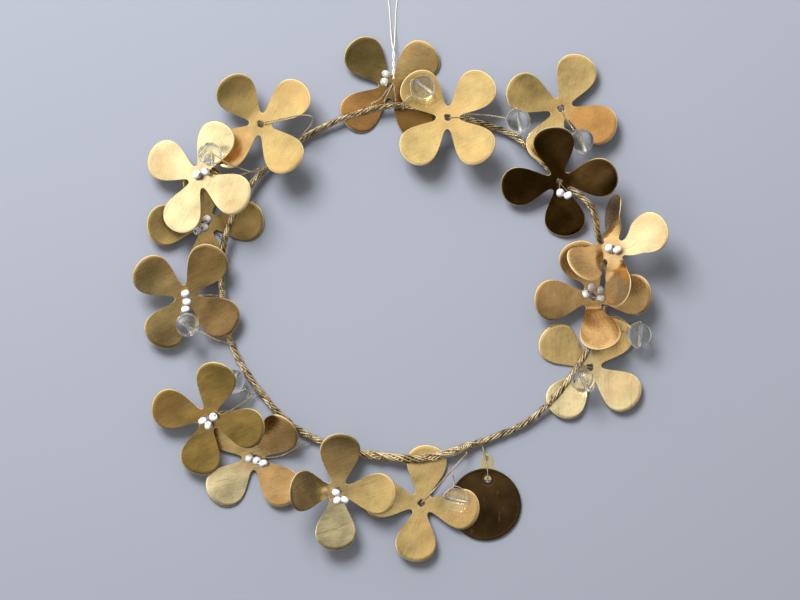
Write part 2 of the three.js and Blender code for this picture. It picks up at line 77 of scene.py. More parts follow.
def spline(points, step=0.5, closed=False):
    """Evenly spaced points on a smooth curve through the given ones."""
    p = np.asarray(points, float)
    if closed:
        p = np.vstack([p[-1:], p, p[:2]])
    else:
        p = np.vstack([2 * p[0] - p[1], p, 2 * p[-1] - p[-2]])
    fine = []
    share = np.linspace(0, 1, SPAN_STEPS, endpoint=False)[:, None]
    for a, b, c, d in zip(p, p[1:], p[2:], p[3:]):
        ab, bc, cd = (max(np.linalg.norm(v), 1e-6) ** 0.5 for v in (b - a, c - b, d - c))
        start = bc * ((b - a) / ab - (c - a) / (ab + bc) + (c - b) / bc)
        end = bc * ((c - b) / bc - (d - b) / (bc + cd) + (d - c) / cd)
        cubic = 2 * (b - c) + start + end
        square = 3 * (c - b) - 2 * start - end
        fine.append(b + start * share + square * share**2 + cubic * share**3)
    fine = np.vstack([*fine, p[-2:-1]])
    along = np.concatenate([[0], np.cumsum(np.linalg.norm(np.diff(fine, axis=0), axis=1))])
    where = np.linspace(0, along[-1], max(int(along[-1] / step), 2) + 1)
    return np.stack([np.interp(where, along, fine[:, i]) for i in range(3)], axis=1)


def unit(vectors):
    return vectors / np.linalg.norm(vectors, axis=-1, keepdims=True)


# A direction that no wire here runs along, to start square from.
ODD_WAY = (0.12, 0.31, 1)


def sides_of(line, closed=False):
    """Two directions square to a line at each of its points, with no twist between points."""
    if closed:
        ahead = unit(np.roll(line[:-1], -1, axis=0) - np.roll(line[:-1], 1, axis=0))
        ahead = np.vstack([ahead, ahead[:1]])
        across = unit(np.cross(ahead, (0, 0, 1)))
        return across, np.cross(across, ahead)
    ahead = unit(np.gradient(line, axis=0))
    across = np.empty_like(line)
    last = np.cross(ahead[0], ODD_WAY)
    for i, way in enumerate(ahead):
        last = last - way * np.dot(last, way)
        last = last / np.linalg.norm(last)
        across[i] = last
    return across, np.cross(across, ahead)


def wound(line, orbit, pitch, phase=0.0, closed=False):
    """A line that winds round another at a distance, with so many millimetres to a turn."""
    across, up = sides_of(line, closed)
    step = np.linalg.norm(np.diff(line, axis=0), axis=1)
    along = np.concatenate([[0], np.cumsum(step)])
    if closed:
        pitch = along[-1] / round(along[-1] / pitch)
    angle = (phase + 2 * math.pi * along / pitch)[:, None]
    orbit = np.broadcast_to(orbit, len(line))[:, None]
    return line + orbit * (np.cos(angle) * across + np.sin(angle) * up)


def skin(grid, loop=False):
    """Faces over rings of points. The last ring meets the first, or both ends are closed."""
    rows, columns = grid.shape[:2]
    index = np.arange(rows * columns).reshape(rows, columns)
    index = np.hstack([index, index[:, :1]])
    if loop:
        index = np.vstack([index, index[:1]])
    corners = (index[:-1, :-1], index[:-1, 1:], index[1:, 1:], index[1:, :-1])
    faces = np.stack([c.ravel() for c in corners], axis=1).tolist()
    if not loop:
        faces += [index[0, :-1].tolist()[::-1], index[-1, :-1].tolist()]
    return grid.reshape(-1, 3), faces


END_TAPER = 0.6  # the width of a cut wire at its very end


def tube(line, radius, corners=8, closed=False):
    """A round wire along a line, with ends that are a little narrower."""
    if closed:
        across, up = sides_of(line, True)
        line, across, up = line[:-1], across[:-1], up[:-1]
        size = np.broadcast_to(radius, len(line) + 1)[:-1]
    else:
        across, up = sides_of(line)
        size = np.broadcast_to(radius, len(line)).copy()
        size[[0, -1]] *= END_TAPER
    angle = np.linspace(0, 2 * math.pi, corners, endpoint=False)
    ring = np.cos(angle)[:, None] * across[:, None] + np.sin(angle)[:, None] * up[:, None]
    return skin(line[:, None] + size[:, None, None] * ring, loop=closed)


def made(name, parts, finish, body, stands_for=()):
    """One piece from parts drawn in millimetres, on a CAD body, in place of CAD nodes."""
    points, faces = [], []
    for part_points, part_faces in parts:
        first = sum(len(p) for p in points)
        points.append(np.asarray(part_points))
        faces += [[first + i for i in face] for face in part_faces]
    mesh = bpy.data.meshes.new(name)
    mesh.from_pydata(((np.vstack(points) + shift) / 1000).tolist(), [], faces)
    shape = bmesh.new()
    shape.from_mesh(mesh)
    bmesh.ops.recalc_face_normals(shape, faces=shape.faces)
    shape.to_mesh(mesh)
    shape.free()
    mesh.shade_smooth()
    mesh.materials.append(finish)
    piece = bpy.data.objects.new(name, mesh)
    bpy.context.collection.objects.link(piece)
    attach(piece, body)
    if stands_for:
        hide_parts(*stands_for)
    return piece


class Value:
    """A socket in a material. Sums written with it become Math nodes."""

    def __init__(self, finish, socket):
        self.finish = finish
        self.socket = socket

    def math(self, operation, first, second):
        return self.finish.node("Math", {"operation": operation}, {0: first, 1: second})

    def __add__(self, other):
        return self.math("ADD", self, other)

    def __mul__(self, other):
        return self.math("MULTIPLY", self, other)

    def __sub__(self, other):
        return self.math("SUBTRACT", self, other)

    def __rsub__(self, other):
        return self.math("SUBTRACT", other, self)

    __radd__ = __add__
    __rmul__ = __mul__


class Finish:
    """A material: node() adds a node with its settings and socket values, and gives an output."""

    def __init__(self, name):
        self.material = bpy.data.materials.new(name)
        self.material.use_nodes = True
        self.tree = self.material.node_tree
        self.tree.nodes.clear()

    def node(self, kind, settings=None, sockets=None, output=0):
        node = self.tree.nodes.new("ShaderNode" + kind)
        for key, value in (settings or {}).items():
            if key == "stops":
                ramp = node.color_ramp.elements
                while len(ramp) < len(value):
                    ramp.new(1)
                for stop, (place, colour) in zip(ramp, value):
                    stop.position = place
                    stop.color = colour if isinstance(colour, tuple) else (colour,) * 3 + (1,)
            else:
                setattr(node, key, value)
        for key, value in (sockets or {}).items():
            if isinstance(value, Value):
                self.tree.links.new(value.socket, node.inputs[key])
            else:
                node.inputs[key].default_value = value
        return Value(self, node.outputs[output])

    def noise(self, where, scale, detail=3.0, rough=0.55, stretch=(1, 1, 1)):
        placed = self.node("Mapping", {}, {"Vector": where, "Scale": stretch})
        sockets = {"Vector": placed, "Scale": scale, "Detail": detail, "Roughness": rough}
        return self.node("TexNoise", {"noise_dimensions": "3D"}, sockets)

    def ramp(self, value, *stops):
        return self.node("ValToRGB", {"stops": stops}, {"Fac": value})

    def mix(self, factor, first, second, blend="MIX"):
        settings = {"data_type": "RGBA", "blend_type": blend}
        return self.node("Mix", settings, {0: factor, 6: first, 7: second}, output=2)

    def done(self, **sockets):
        named = {key.replace("_", " "): value for key, value in sockets.items()}
        shader = self.node("BsdfPrincipled", {}, named)
        out = self.tree.nodes.new("ShaderNodeOutputMaterial")
        self.tree.links.new(shader.socket, out.inputs["Surface"])
        return self.material

    def bump(self, height, distance, strength=1.0):
        sockets = {"Height": height, "Distance": distance, "Strength": strength}
        return self.node("Bump", {}, sockets)


def thread_finish():
    finish = Finish("pale_thread")
    place = finish.node("TexCoord", output=3)
    fibres = finish.noise(place, 5000, stretch=(1, 0.25, 1))
    colour = finish.ramp(fibres, (0.3, (0.36, 0.31, 0.23, 1)), (0.7, (0.70, 0.65, 0.54, 1)))
    return finish.done(
        Base_Color=colour,
        Roughness=fibres * 0.25 + 0.45,
        Sheen_Weight=0.3,
        Normal=finish.bump(fibres, 0.00004),
    )


THREAD_EXIT = np.array([-8.2, 85.6, 6.6])
THREAD_RADIUS = 0.22
# The twisted start of the legs: turns, points, length, distance from its middle, and fall.
TWIST_TURNS, TWIST_STEPS, TWIST_LENGTH, TWIST_RADIUS, TWIST_DROP = 1.5, 6, 10, 0.4, 1.2


def twisted_leg(phase):
    leg = []
    for i in range(TWIST_STEPS + 1):
        share = i / TWIST_STEPS
        angle = phase + 2 * math.pi * TWIST_TURNS * share
        side, lift = TWIST_RADIUS * math.cos(angle), TWIST_RADIUS * math.sin(angle)
        leg.append(THREAD_EXIT + (side, TWIST_LENGTH * share, lift - TWIST_DROP * share))
    return leg


THREAD_LOOP = [
    (-8.9, 101, 3.6), (-9.4, 107, 1), (-10, 116, 0.5), (-10.6, 124, 0.5), (-8.6, 128.4, 0.5),
    (-6.6, 124, 0.5), (-7.2, 116, 0.5), (-7.6, 107, 1), (-7.9, 101, 3.6),
]
thread_line = spline([*twisted_leg(math.pi), *THREAD_LOOP, *twisted_leg(0)[::-1]], step=0.4)
pale_thread = thread_finish()
thread = made(
    "thread", [tube(thread_line, THREAD_RADIUS, 8)], pale_thread, "crown",
    ["hanging_thread"],
)

# ---- Hoop ---------------------------------------------------------------------------------
# Strands of soft brass wire laid round each other into a ring, with a fine binding wire wound
# over them. At the bottom the ends lap, and more strands lie over the join.
HOOP_POINTS = [
    (-9.8, 74.5, 6.1), (8, 72.6, 6.1), (24.3, 68.5, 5.1), (42.4, 62.2, 3.6), (56, 49.5, 6.1),
    (67.2, 39.2, 7.9), (75.5, 31, 10.1), (79.2, 17, 5.4), (83, 2.6, 4.6), (80.8, -13, 4.6),
    (72.5, -32.5, 6.1), (62, -47.5, 5.6), (49.1, -59.9, 3.1), (28.3, -68.9, 3.1),
    (6.3, -75.3, 5.3), (-13.2, -74.8, 4.6), (-37.2, -69.2, 3.1), (-53.3, -59.9, 3.3),
    (-68.9, -42, 2.6), (-78.2, -24.5, 2.6), (-81.4, -2.3, 4.6), (-79.5, 19, 7.1),
    (-71, 38, 6.7), (-56, 54, 3.6), (-38.7, 65.3, 4.3),
]
HOOP_RADIUS = 1.35
LAP_EXTRA = 0.65
STRANDS = 5
STRAND_RADIUS = 0.42
STRAND_PITCH = 15
STRAND_GAP = 0.16
STRAND_SINK = 0.03
CORE_RADIUS = 0.42

hoop_line = spline(HOOP_POINTS, step=0.5, closed=True)


def smooth(value, low, high):
    """Eases from 0 to 1 as the value goes from low to high."""
    share = np.clip((np.asarray(value, float) - low) / (high - low), 0, 1)
    return share * share * (3 - 2 * share)


def hoop_radius(point):
    """The hoop is thicker at the bottom, where its ends lap."""
    lap = smooth(-point[..., 1], 66, 72) * smooth(point[..., 0], -32, -20)
    return HOOP_RADIUS + LAP_EXTRA * lap


def wire_finish(name, pale, deep, rough):
    """Drawn brass wire: bright, with brown tarnish in patches and a fine grain."""
    finish = Finish(name)
    place = finish.node("TexCoord", output=3)
    patches = finish.noise(place, 260, 4)
    specks = finish.noise(place, 1900, 3)
    tarnish = finish.ramp(patches + specks * 0.35, (0.56, 0.0), (0.84, 1.0))
    colour = finish.mix(tarnish, pale, deep)
    return finish.done(
        Base_Color=colour,
        Metallic=1.0,
        Roughness=tarnish * 0.22 + specks * 0.16 + rough,
        Normal=finish.bump(specks, 0.00003, 0.7),
    )


hoop_wire = wire_finish("hoop_wire", (1.0, 0.85, 0.56, 1), (0.34, 0.23, 0.11, 1), 0.10)
strand_orbit = HOOP_RADIUS - STRAND_RADIUS - STRAND_SINK
strands = [tube(hoop_line, CORE_RADIUS, 6, True)]
for k in range(STRANDS):
    # Every second strand lies a little further round, so the gaps between them are uneven.
    phase = 2 * math.pi * (k + STRAND_GAP * (k % 2)) / STRANDS
    ring = wound(hoop_line, strand_orbit, STRAND_PITCH, phase, True)
    strands.append(tube(ring, STRAND_RADIUS, 7, True))
made("hoop_strands", strands, hoop_wire, "crown", ["crown_ring"])

# The binding wire is wound on twice, once each way, and crosses the strands at uneven steps.
BINDING_RADIUS = 0.17
BINDING_ORBIT = HOOP_RADIUS - 0.04
BINDING_ROUNDS = ((6.5, 0.3), (-19.0, 2.1))  # millimetres to a turn, and where it starts
WANDER, WANDER_POINTS = 0.9, 60

draw = random.Random(7)
binding = []
for pitch, phase in BINDING_ROUNDS:
    wander = np.array([draw.uniform(-WANDER, WANDER) for _ in range(WANDER_POINTS)])
    where = np.linspace(0, WANDER_POINTS, len(hoop_line))
    uneven = np.interp(where, np.arange(WANDER_POINTS), wander)
    uneven[-1] = uneven[0]
    ring = wound(hoop_line, BINDING_ORBIT, pitch, phase, True)
    across, up = sides_of(hoop_line, True)
    turned = ring - hoop_line
    cosine, sine = np.cos(uneven)[:, None], np.sin(uneven)[:, None]
    side = np.sum(turned * across, axis=1, keepdims=True)
    lift = np.sum(turned * up, axis=1, keepdims=True)
    ring = hoop_line + (side * cosine - lift * sine) * across + (side * sine + lift * cosine) * up
    ring[-1] = ring[0]
    binding.append(tube(ring, BINDING_RADIUS, 6, True))
# Painted shade: the binding wire is coloured far darker than the other wire, for the dark lines of
# shadow where it crosses the strands.
dull_wire = wire_finish("dull_wire", (0.62, 0.46, 0.26, 1), (0.10, 0.06, 0.03, 1), 0.24)
made("hoop_binding", binding, dull_wire, "crown")

# The lapped strands run from one side of the join to the other, each with its own ends, which
# sink in between the strands of the hoop.
LAP_STRANDS = 9
LAP_RADIUS = 0.36
LAP_PITCH = -24
LAP_SINK = 0.35
LAP_RISE = 0.62
LAP_END_POINTS = 14
LAP_FROM, LAP_TO = (-33, -25), (21, 31)
LAP_BELOW = -60

lap_parts = []
for k in range(LAP_STRANDS):
    first, last = draw.uniform(*LAP_FROM), draw.uniform(*LAP_TO)
    low = (hoop_line[:, 1] < LAP_BELOW) & (hoop_line[:, 0] > first) & (hoop_line[:, 0] < last)
    line = hoop_line[low]
    line = line[np.argsort(line[:, 0])]
    place = np.arange(len(line))
    ends = smooth(place, 0, LAP_END_POINTS) * smooth(place[::-1], 0, LAP_END_POINTS)
    orbit = HOOP_RADIUS - LAP_SINK + LAP_RISE * ends
    lapped = wound(line, orbit, LAP_PITCH, 2 * math.pi * k / LAP_STRANDS)
    lap_parts.append(tube(lapped, LAP_RADIUS, 7))
made("hoop_lap", lap_parts, hoop_wire, "crown")

# ---- Flowers ------------------------------------------------------------------------------
# Each flower is stamped from 0.4 mm brass sheet: four petals on narrow necks round a small
# hole. The sheet is satin, tarnished unevenly, and bent by hand at the necks. It can turn on
# the wire through its hole.
SHEET = 0.4
NECK = 4.5
PETAL_TIP = 25
HOLE_RADIUS = 1.35
EDGE_ROUND = 0.22
ROWS = 30
SWELL = 0.055
OVER_TABLE = 0.05
# Half a petal, from the notch to the tip: angle off its middle line in degrees, and reach.
HALF_PETAL = [
    (45, 5.0), (38, 5.25), (33.5, 6.1), (31.3, 7.6), (30.8, 10), (30.4, 13), (29.3, 16.4),
    (26.6, 19.4), (22.6, 21.6), (17.6, 23.2), (10.4, 24.5), (3.5, PETAL_TIP),
]

# Where the middle is, how far the flower is turned, how far and toward where it is tilted, the
# brushing direction, the colour of each petal from the palette below, fold, bend, roll and swing
# of each petal in degrees, and where the seed beads lie on it.
FLOWERS = [
    dict(at=(-9.8, 83, 2.3), turn=41, tilt=6, toward=150, brush=60, tones="udck",
         petals=[(0, 8, 0, 0), (0, 8, 0, 0), (-5, 4, 0, 0), (0, 6, 0, 0)],
         beads=[(-1.9, 5.3), (-2.6, 1.9)]),
    dict(at=(14.7, 68.9, 12), turn=44, tilt=12, toward=-45, brush=20, tones="yoyy",
         petals=[(0, 4, 0, 0), (0, 12, 0, 0), (0, -4, 0, 0), (0, 6, 0, 0)], beads=[]),
    dict(at=(63, 73, 7.1), turn=67, tilt=8, toward=240, brush=-4, tones="uoyc",
         petals=[(0, 6, 0, 0), (0, 8, 0, 0), (0, 8, 0, 0), (0, 4, 0, 0)], beads=[]),
    dict(at=(61.9, 42.2, 11.1), turn=8, tilt=24, toward=75, brush=35, tones="bbbb",
         petals=[(8, -4, 0, 0), (0, 8, 0, 0), (0, 6, 0, 0), (0, 4, 0, 0)],
         beads=[(0.6, -4.4), (3.8, -5.4)]),
    dict(at=(84.2, 12.9, 16.6), turn=10, tilt=18, toward=338, brush=10, tones="wttt",
         petals=[(2, 4, 0, 14), (-17, -6, -54, -5), (48, 8, 0, 24), (14, 0, 38, 0)],
         beads=[(-1.4, 0.4), (2.2, -0.4)]),
    dict(at=(76.3, -6.9, 8.3), turn=4, tilt=4, toward=80, brush=80, tones="tttt",
         petals=[(6, 10, 0, 0), (0, 2, 0, 16), (0, 8, 0, 0), (30, 8, 0, 6)],
         beads=[(-3, 1.4), (-0.8, 4.2), (2.8, 3), (3.2, -0.4)]),
    dict(at=(75.6, -37, 1.5), turn=53, tilt=4, toward=300, brush=-35, tones="uuww",
         petals=[(0, 4, 0, 0), (0, 4, 0, 0), (0, 4, 0, 0), (0, 6, 0, 0)], beads=[]),
    dict(at=(3.6, -94.8, 3.1), turn=82, tilt=4, toward=260, brush=15, tones="uuuu",
         petals=[(0, -2, 0, 0), (0, 4, 0, 0), (0, 4, 0, 0), (0, 4, 0, 0)], beads=[]),
    dict(at=(-31.9, -89.2, 9.6), turn=87, tilt=8, toward=185, brush=70, tones="uuwu",
         petals=[(0, 18, 0, 0), (26, 16, 0, 0), (0, -2, 0, 0), (8, 18, 0, 0)],
         beads=[(-1, -0.4), (-0.6, -3.6), (2.6, -3.6)]),
    dict(at=(-67.9, -75.7, 2.7), turn=45, tilt=5, toward=60, brush=30, tones="tuwt",
         petals=[(20, 4, 0, 0), (0, 0, 0, 0), (0, 8, 0, 0), (4, 6, 0, 0)],
         beads=[(-1.6, 0.4), (1.6, -0.6), (4.4, -1.8)]),
    dict(at=(-86.5, -58.2, 11.1), turn=77, tilt=14, toward=44, brush=50, tones="gggg",
         petals=[(0, 6, 0, 0), (0, 6, 0, 0), (0, 4, 0, 0), (0, 4, 0, 0)],
         beads=[(-2, -0.6), (0.6, -2.6), (2.8, 1.2)]),
    dict(at=(-96, -6.6, 9.6), turn=57, tilt=10, toward=120, brush=25, tones="ouut",
         petals=[(0, 6, 0, 0), (0, 6, 0, 0), (0, -6, 0, 0), (0, 4, 0, 0)],
         beads=[(-0.4, 1.6), (0.2, -2), (-0.4, -5.2)]),
    dict(at=(-88.5, 24.7, 2.7), turn=3, tilt=6, toward=171, brush=65, tones="dooo",
         petals=[(0, 6, 0, 0), (0, 0, 0, 0), (0, 8, 0, 0), (0, 8, 0, 0)],
         beads=[(0.6, 1.6), (-0.6, -1.8), (-3.4, -3.4)]),
    dict(at=(-90.2, 43.6, 15.1), turn=64, tilt=20, toward=351, brush=0, tones="wwww",
         petals=[(0, 2, 0, 0), (0, 8, 0, 0), (0, 6, 0, 0), (0, -8, 0, 0)],
         beads=[(0.2, 0.8), (4.2, 2)]),
    dict(at=(-64.4, 66.1, 13.1), turn=38, tilt=16, toward=-46, brush=-20, tones="uoty",
         petals=[(0, 6, 0, 0), (8, 24, 0, 0), (0, 6, 0, 0), (0, -4, 0, 0)], beads=[]),
]
# The palette: pale, yellow, used gold, tan, olive, dark olive, ochre, copper, dark copper, brown.
# The pale tone is partly painted highlight, given to petals that catch the light.
PALETTE = dict(
    w=(1.0, 0.85, 0.50), y=(0.76, 0.56, 0.24), u=(0.70, 0.51, 0.22), t=(0.66, 0.42, 0.18),
    o=(0.50, 0.36, 0.14), d=(0.30, 0.215, 0.08), g=(0.42, 0.285, 0.085), c=(0.62, 0.33, 0.11),
    k=(0.33, 0.18, 0.055), b=(0.11, 0.055, 0.011),
)


def petal_edge():
    """Angle off the middle line, and reach, from one notch round the petal to the next."""
    whole = [(-a, r) for a, r in HALF_PETAL] + [(a, r) for a, r in reversed(HALF_PETAL)]
    angle, reach = np.radians([a for a, _ in whole]), np.array([r for _, r in whole])
    line = np.stack([reach * np.cos(angle), reach * np.sin(angle), 0 * angle], axis=1)
    fine = spline(line, step=0.9)
    return np.arctan2(fine[:, 1], fine[:, 0])[:-1], np.hypot(fine[:, 0], fine[:, 1])[:-1]


EDGE_ANGLE, EDGE_REACH = petal_edge()


def petal_points(along, across, shape, lift, wave):
    """Bends flat petal points up from the neck: along the petal, across it, and up."""
    fold, bend, roll, swing = shape
    distance = np.linspace(0, PETAL_TIP + 1, 400)
    slope = math.radians(fold) * smooth(distance, NECK - 0.5, NECK + 0.7)
    slope += math.radians(bend) * np.clip(distance - NECK, 0, None) / (PETAL_TIP - NECK)
    step = distance[1]
    flat = np.concatenate([[0], np.cumsum(np.cos(slope)[:-1] * step)])
    rise = np.concatenate([[0], np.cumsum(np.sin(slope)[:-1] * step)])
    run = np.clip(along, 0, None)
    x = np.where(along < 0, along, np.interp(run, distance, flat))
    z = np.interp(run, distance, rise)
    angle = np.interp(run, distance, slope)
    turned = math.radians(roll) * smooth(along - NECK, 0, 8)
    lift = lift + wave
    side = across * np.cos(turned) - lift * np.sin(turned)
    up = across * np.sin(turned) + lift * np.cos(turned)
    swung = math.radians(swing) * smooth(along, NECK, 12)
    x = x - up * np.sin(angle)
    z = z + up * np.cos(angle)
    return np.stack([x * np.cos(swung) - side * np.sin(swung),
                     x * np.sin(swung) + side * np.cos(swung), z], axis=-1)


def turn_about(axis, degrees):
    """A turn by so many degrees about an axis, as a matrix."""
    x, y, z = unit(np.asarray(axis, float))
    c, s = math.cos(math.radians(degrees)), math.sin(math.radians(degrees))
    cross = np.array([[0, -z, y], [z, 0, -x], [-y, x, 0]])
    return np.eye(3) + s * cross + (1 - c) * cross @ cross


def tilted(flower):
    """The tilt of a flower, as a matrix."""
    toward = math.radians(flower["toward"])
    return turn_about((math.sin(toward), -math.cos(toward), 0), flower["tilt"])


def flower_sheet(flower, number):
    """Points of the bent sheet, of the same sheet laid flat, and their distance from its edge."""
    wave_draw = random.Random(100 + number)
    wave = [(wave_draw.uniform(-0.5, 0.5), wave_draw.uniform(-0.5, 0.5), wave_draw.uniform(0, 6.3))
            for _ in range(5)]
    cups = [wave_draw.choice((1, -0.8)) * wave_draw.uniform(0.002, 0.006) for _ in range(4)]
    # The rows go out over the face, round the edge, and back under it to the hole.
    share = np.append(np.linspace(0, 0.92, ROWS - 1), 1)
    shares = [*share, 1.0, *share[::-1]]
    lifts = [SHEET / 2] * ROWS + [0.0] + [-SHEET / 2] * ROWS
    insets = [0.0] * (ROWS - 1) + [EDGE_ROUND, 0.0, EDGE_ROUND] + [0.0] * (ROWS - 1)
    rows, flats = [], []
    for out, lift, inset in zip(shares, lifts, insets):
        row, flat = [], []
        for k, shape in enumerate(flower["petals"]):
            reach = HOLE_RADIUS + out * (EDGE_REACH - HOLE_RADIUS) - inset
            along, across = reach * np.cos(EDGE_ANGLE), reach * np.sin(EDGE_ANGLE)
            quarter = turn_about((0, 0, 1), 90 * k)
            level = np.stack([along, across, 0 * along], axis=-1) @ quarter.T
            swell = sum(np.sin(level[:, 0] * a + level[:, 1] * b + c) for a, b, c in wave)
            uneven = smooth(along, NECK, NECK + 6) * (SWELL * swell + cups[k] * across**2)
            bent = petal_points(along, across, shape, lift, uneven)
            row.append(bent @ quarter.T)
            flat.append(level)
        rows.append(np.vstack(row))
        flats.append(np.vstack(flat))
    grid = np.stack(rows)
    place = turn_about((0, 0, 1), flower["turn"])
    grid = grid @ (tilted(flower) @ place).T + np.array(flower["at"])
    # No petal goes into the table.
    table = OVER_TABLE + SHEET / 2 + np.array(lifts)[:, None] - shift[2]
    grid[..., 2] = np.maximum(grid[..., 2], table)
    from_edge = (1 - np.array(shares))[:, None] * (np.tile(EDGE_REACH, 4) - HOLE_RADIUS)
    return grid, np.stack(flats), from_edge


def sheet_finish(name):
    """Satin brass sheet: brushing, cloudy tarnish, small dark spots, scratches, and a painted
    highlight along the edges.
    """
    finish = Finish(name)
    # The finish follows the flat sheet, as it was before it was bent.
    place = finish.node("UVMap", {"uv_map": "flat"})
    tone = finish.node("Attribute", {"attribute_name": "tone"})
    edge = finish.node("Attribute", {"attribute_name": "edge"}, output=2)
    clouds = finish.noise(place, 90, 5, 0.6)
    wide = finish.noise(place, 34, 3, 0.5)
    grain = finish.noise(place, 1300, 4, 0.65, (0.5, 1, 1))
    brushing = finish.noise(place, 1400, 3, 0.6, (0.09, 1, 1))
    scratches = finish.ramp(finish.noise(place, 420, 2, 0.5, (0.1, 1, 1)), (0.66, 0.0), (0.70, 1.0))
    spots = finish.ramp(finish.noise(place, 520, 2), (0.70, 0.0), (0.76, 1.0))
    # Painted highlight along the edge of the sheet: a pale brass rim, where the edges catch the
    # light.
    painted_rim_highlight = finish.ramp(edge, (0.0, 1.0), (0.03, 0.7), (0.055, 0.0))
    cloudy = finish.ramp(clouds * 0.6 + wide * 0.4, (0.32, 0.60), (0.66, 1.2))
    shade = finish.mix(1.0, tone, cloudy, "MULTIPLY")
    streaks = finish.ramp(brushing * 0.6 + grain * 0.4, (0.34, 0.86), (0.66, 1.11))
    brushed = finish.mix(1.0, shade, streaks, "MULTIPLY")
    warm = finish.mix(finish.ramp(wide, (0.46, 0.0), (0.66, 0.5)), brushed, (0.60, 0.34, 0.13, 1))
    marked = finish.mix(spots * 0.5 + scratches * 0.22, warm, (0.16, 0.10, 0.05, 1))
    # Painted highlight: the pale brass colour mixed in along the edges.
    colour = finish.mix(painted_rim_highlight * 0.75, marked, (1.0, 0.84, 0.52, 1))
    # The height of the dents, the brushing and the scratches, in metres.
    height = wide * 0.0007 + clouds * 0.00022 + brushing * 0.00003 + scratches * 0.00001
    return finish.done(
        Base_Color=colour,
        Metallic=1.0,
        Roughness=clouds * 0.16 + brushing * 0.12 + 0.13 - painted_rim_highlight * 0.06,
        Normal=finish.bump(height, 1.0),
    )


# How far in from its edge a sheet is measured for the painted rim highlight, in millimetres.
EDGE_SCALE = 9.0
brass_sheet = sheet_finish("brass_sheet")
for number, flower in enumerate(FLOWERS, 1):
    grid, flat, from_edge = flower_sheet(flower, number)
    sheet = made(
        f"brass_flower_{number:02d}", [skin(grid, loop=True)], brass_sheet,
        f"turning_flower_{number:02d}", [f"flower_{number:02d}"],
    )
    brushed = flat @ turn_about((0, 0, 1), flower["brush"]).T / 1000
    uv = sheet.data.uv_layers.new(name="flat")
    corner = np.empty(len(sheet.data.loops), int)
    sheet.data.loops.foreach_get("vertex_index", corner)
    places = (brushed.reshape(-1, 3)[:, :2] + (0.05 * number, 0.03 * number))[corner]
    uv.data.foreach_set("uv", places.ravel())
    # Each petal has its own colour, partly the tarnish of the sheet and partly painted highlight on
    # petals that catch the light, and they blend over the middle of the flower.
    petal = np.tile(np.repeat(np.arange(4), len(EDGE_REACH)), len(grid))
    tones = np.array([PALETTE[t] for t in flower["tones"]])
    middle = tones.mean(axis=0)
    out = smooth(np.linalg.norm(flat.reshape(-1, 3), axis=1), NECK - 1.5, NECK + 3)[:, None]
    colours = np.hstack([middle * (1 - out) + tones[petal] * out, np.ones((len(petal), 1))])
    layer = sheet.data.color_attributes.new("tone", "FLOAT_COLOR", "POINT")
    layer.data.foreach_set("color", colours.ravel())
    rim = sheet.data.attributes.new("edge", "FLOAT", "POINT")
    rim.data.foreach_set("value", np.clip(from_edge.ravel() / EDGE_SCALE, 0, 1))

# ---- Stems --------------------------------------------------------------------------------
# Each flower hangs on two fine brass wires twisted together. One end is wound round the hoop,
# the other goes through the flower's hole. Some stems have a side wire for a glass bead.
CLASP_LENGTH = 5
LONE_CLASP_LENGTH = 2
CLASP_WALL = 0.75
STEM_WIRE = 0.19
STEM_PITCH = 2.3
COIL_PITCH = 0.85
COIL_TUCK, COIL_TUCK_POINTS = 0.35, 8
COIL_WANDER = 0.042
GLASS_RADIUS = 5
BEAD_LOOP_GAP = 0.9
LOOP_WIRE = 0.19
# The loop round a glass bead: share of the way from the stem to the hole, and height over it.
LOOP_OVER = ((0.15, 0.5), (0.4, 0.32), (0.65, 0.34), (0.86, 0.55), (0.97, 0.62), (1, 0.1))
# The bent end of a stem: distance from the flower's middle, and height over its face.
HOOK = ((0.6, -0.9), (0.7, 0.3), (1.3, 0.7), (2.6, 0.6), (4.8, 0.5), (6.8, 0.0), (7.4, -1.2))

HOOP_STEP = 0.1
hoop_fine = spline(HOOP_POINTS, step=HOOP_STEP, closed=True)
fine_wire = wire_finish("fine_wire", (0.95, 0.84, 0.62, 1), (0.42, 0.31, 0.18, 1), 0.14)

